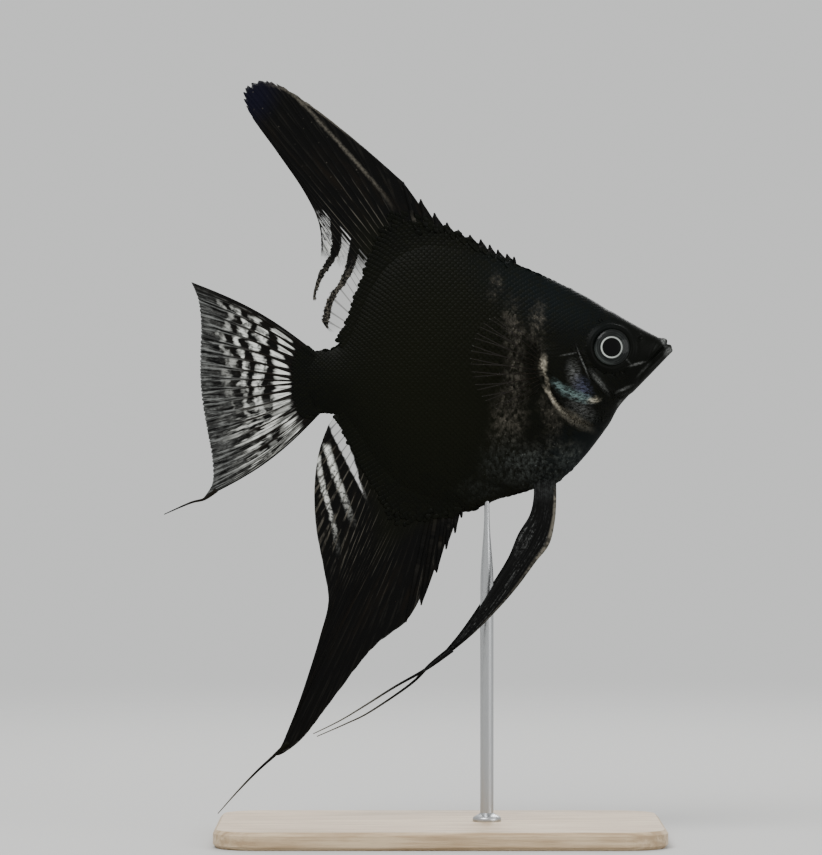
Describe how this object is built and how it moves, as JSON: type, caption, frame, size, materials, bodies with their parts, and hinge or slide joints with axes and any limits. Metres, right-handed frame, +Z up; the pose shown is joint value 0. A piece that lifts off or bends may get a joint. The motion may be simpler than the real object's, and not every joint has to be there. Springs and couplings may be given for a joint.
{
  "type": "angelfish display model",
  "caption": "Still, life-size model of a black freshwater angelfish with tall trailing fins, held level over a flat base by a slim rod.",
  "frame": {"origin": "under the middle of the stand's base, on the surface it stands on", "axes": "+Z up, +X towards the snout, +Y towards the fish's left side"},
  "size_m": [0.1133, 0.064, 0.17],
  "materials": {
    "skin": "satin, like wet scaled skin",
    "fins": "satin membrane with ridged rays",
    "clear_fins": "smoky clear membrane",
    "eyes": "high gloss",
    "stand_steel": "brushed",
    "stand_wood": "pale, sealed"
  },
  "bodies": {
    "root": {"head": "skin", "trunk": "skin", "tail_stalk": "skin", "upper_jaw": "skin", "lower_jaw": "skin", "gill_cover_left": "skin", "gill_cover_right": "skin", "dorsal_fin": "fins", "anal_fin": "fins", "caudal_fin": "fins", "pelvic_fin_left": "fins", "pelvic_fin_right": "fins", "pectoral_fin_left": "clear_fins", "pectoral_fin_right": "clear_fins", "eye_left": "eyes", "eye_right": "eyes", "stand_rod": "stand_steel", "stand_base": "stand_wood"}
  },
  "joints": []
}
